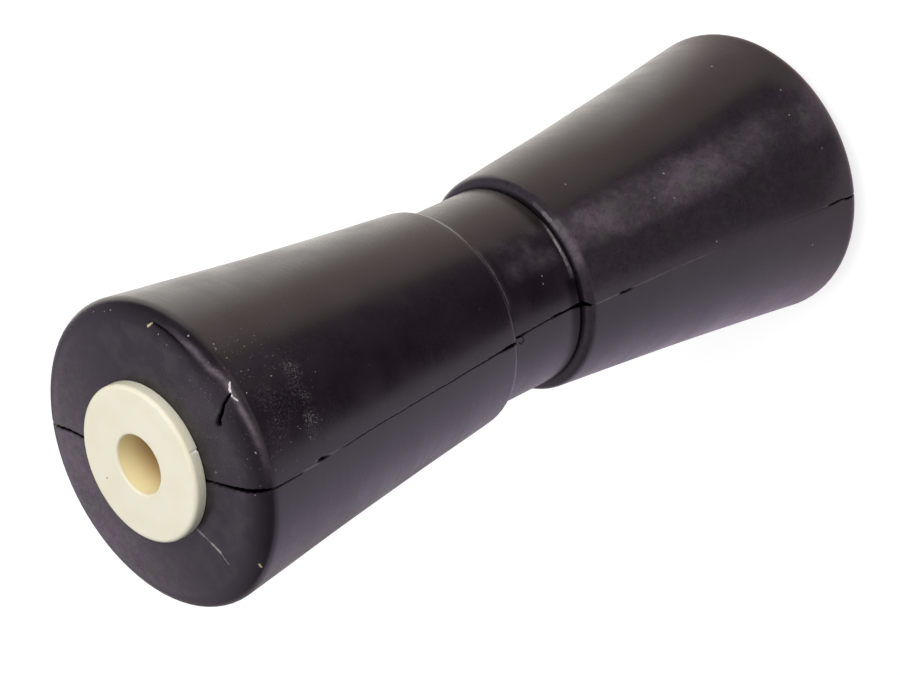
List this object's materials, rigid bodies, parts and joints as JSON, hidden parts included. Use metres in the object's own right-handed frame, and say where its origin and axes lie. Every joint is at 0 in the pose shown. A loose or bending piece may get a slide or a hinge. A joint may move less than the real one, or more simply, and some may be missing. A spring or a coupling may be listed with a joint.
{
  "type": "keel roller",
  "caption": "Rubber keel roller with two tapered drums, a short neck between them and a flanged plastic bush in each end.",
  "frame": {"origin": "on the shaft axis, midway between the roller's two ends", "axes": "+Z along the shaft axis; the roller stands on end. +X lies in the mould's parting plane"},
  "size_m": [0.1054, 0.1054, 0.3048],
  "materials": {
    "black_rubber": "moulded, satin",
    "cream_nylon": "moulded, soft sheen"
  },
  "bodies": {
    "root": {"roller_body": "black_rubber", "upper_end_bush": "cream_nylon", "lower_end_bush": "cream_nylon"}
  },
  "joints": []
}
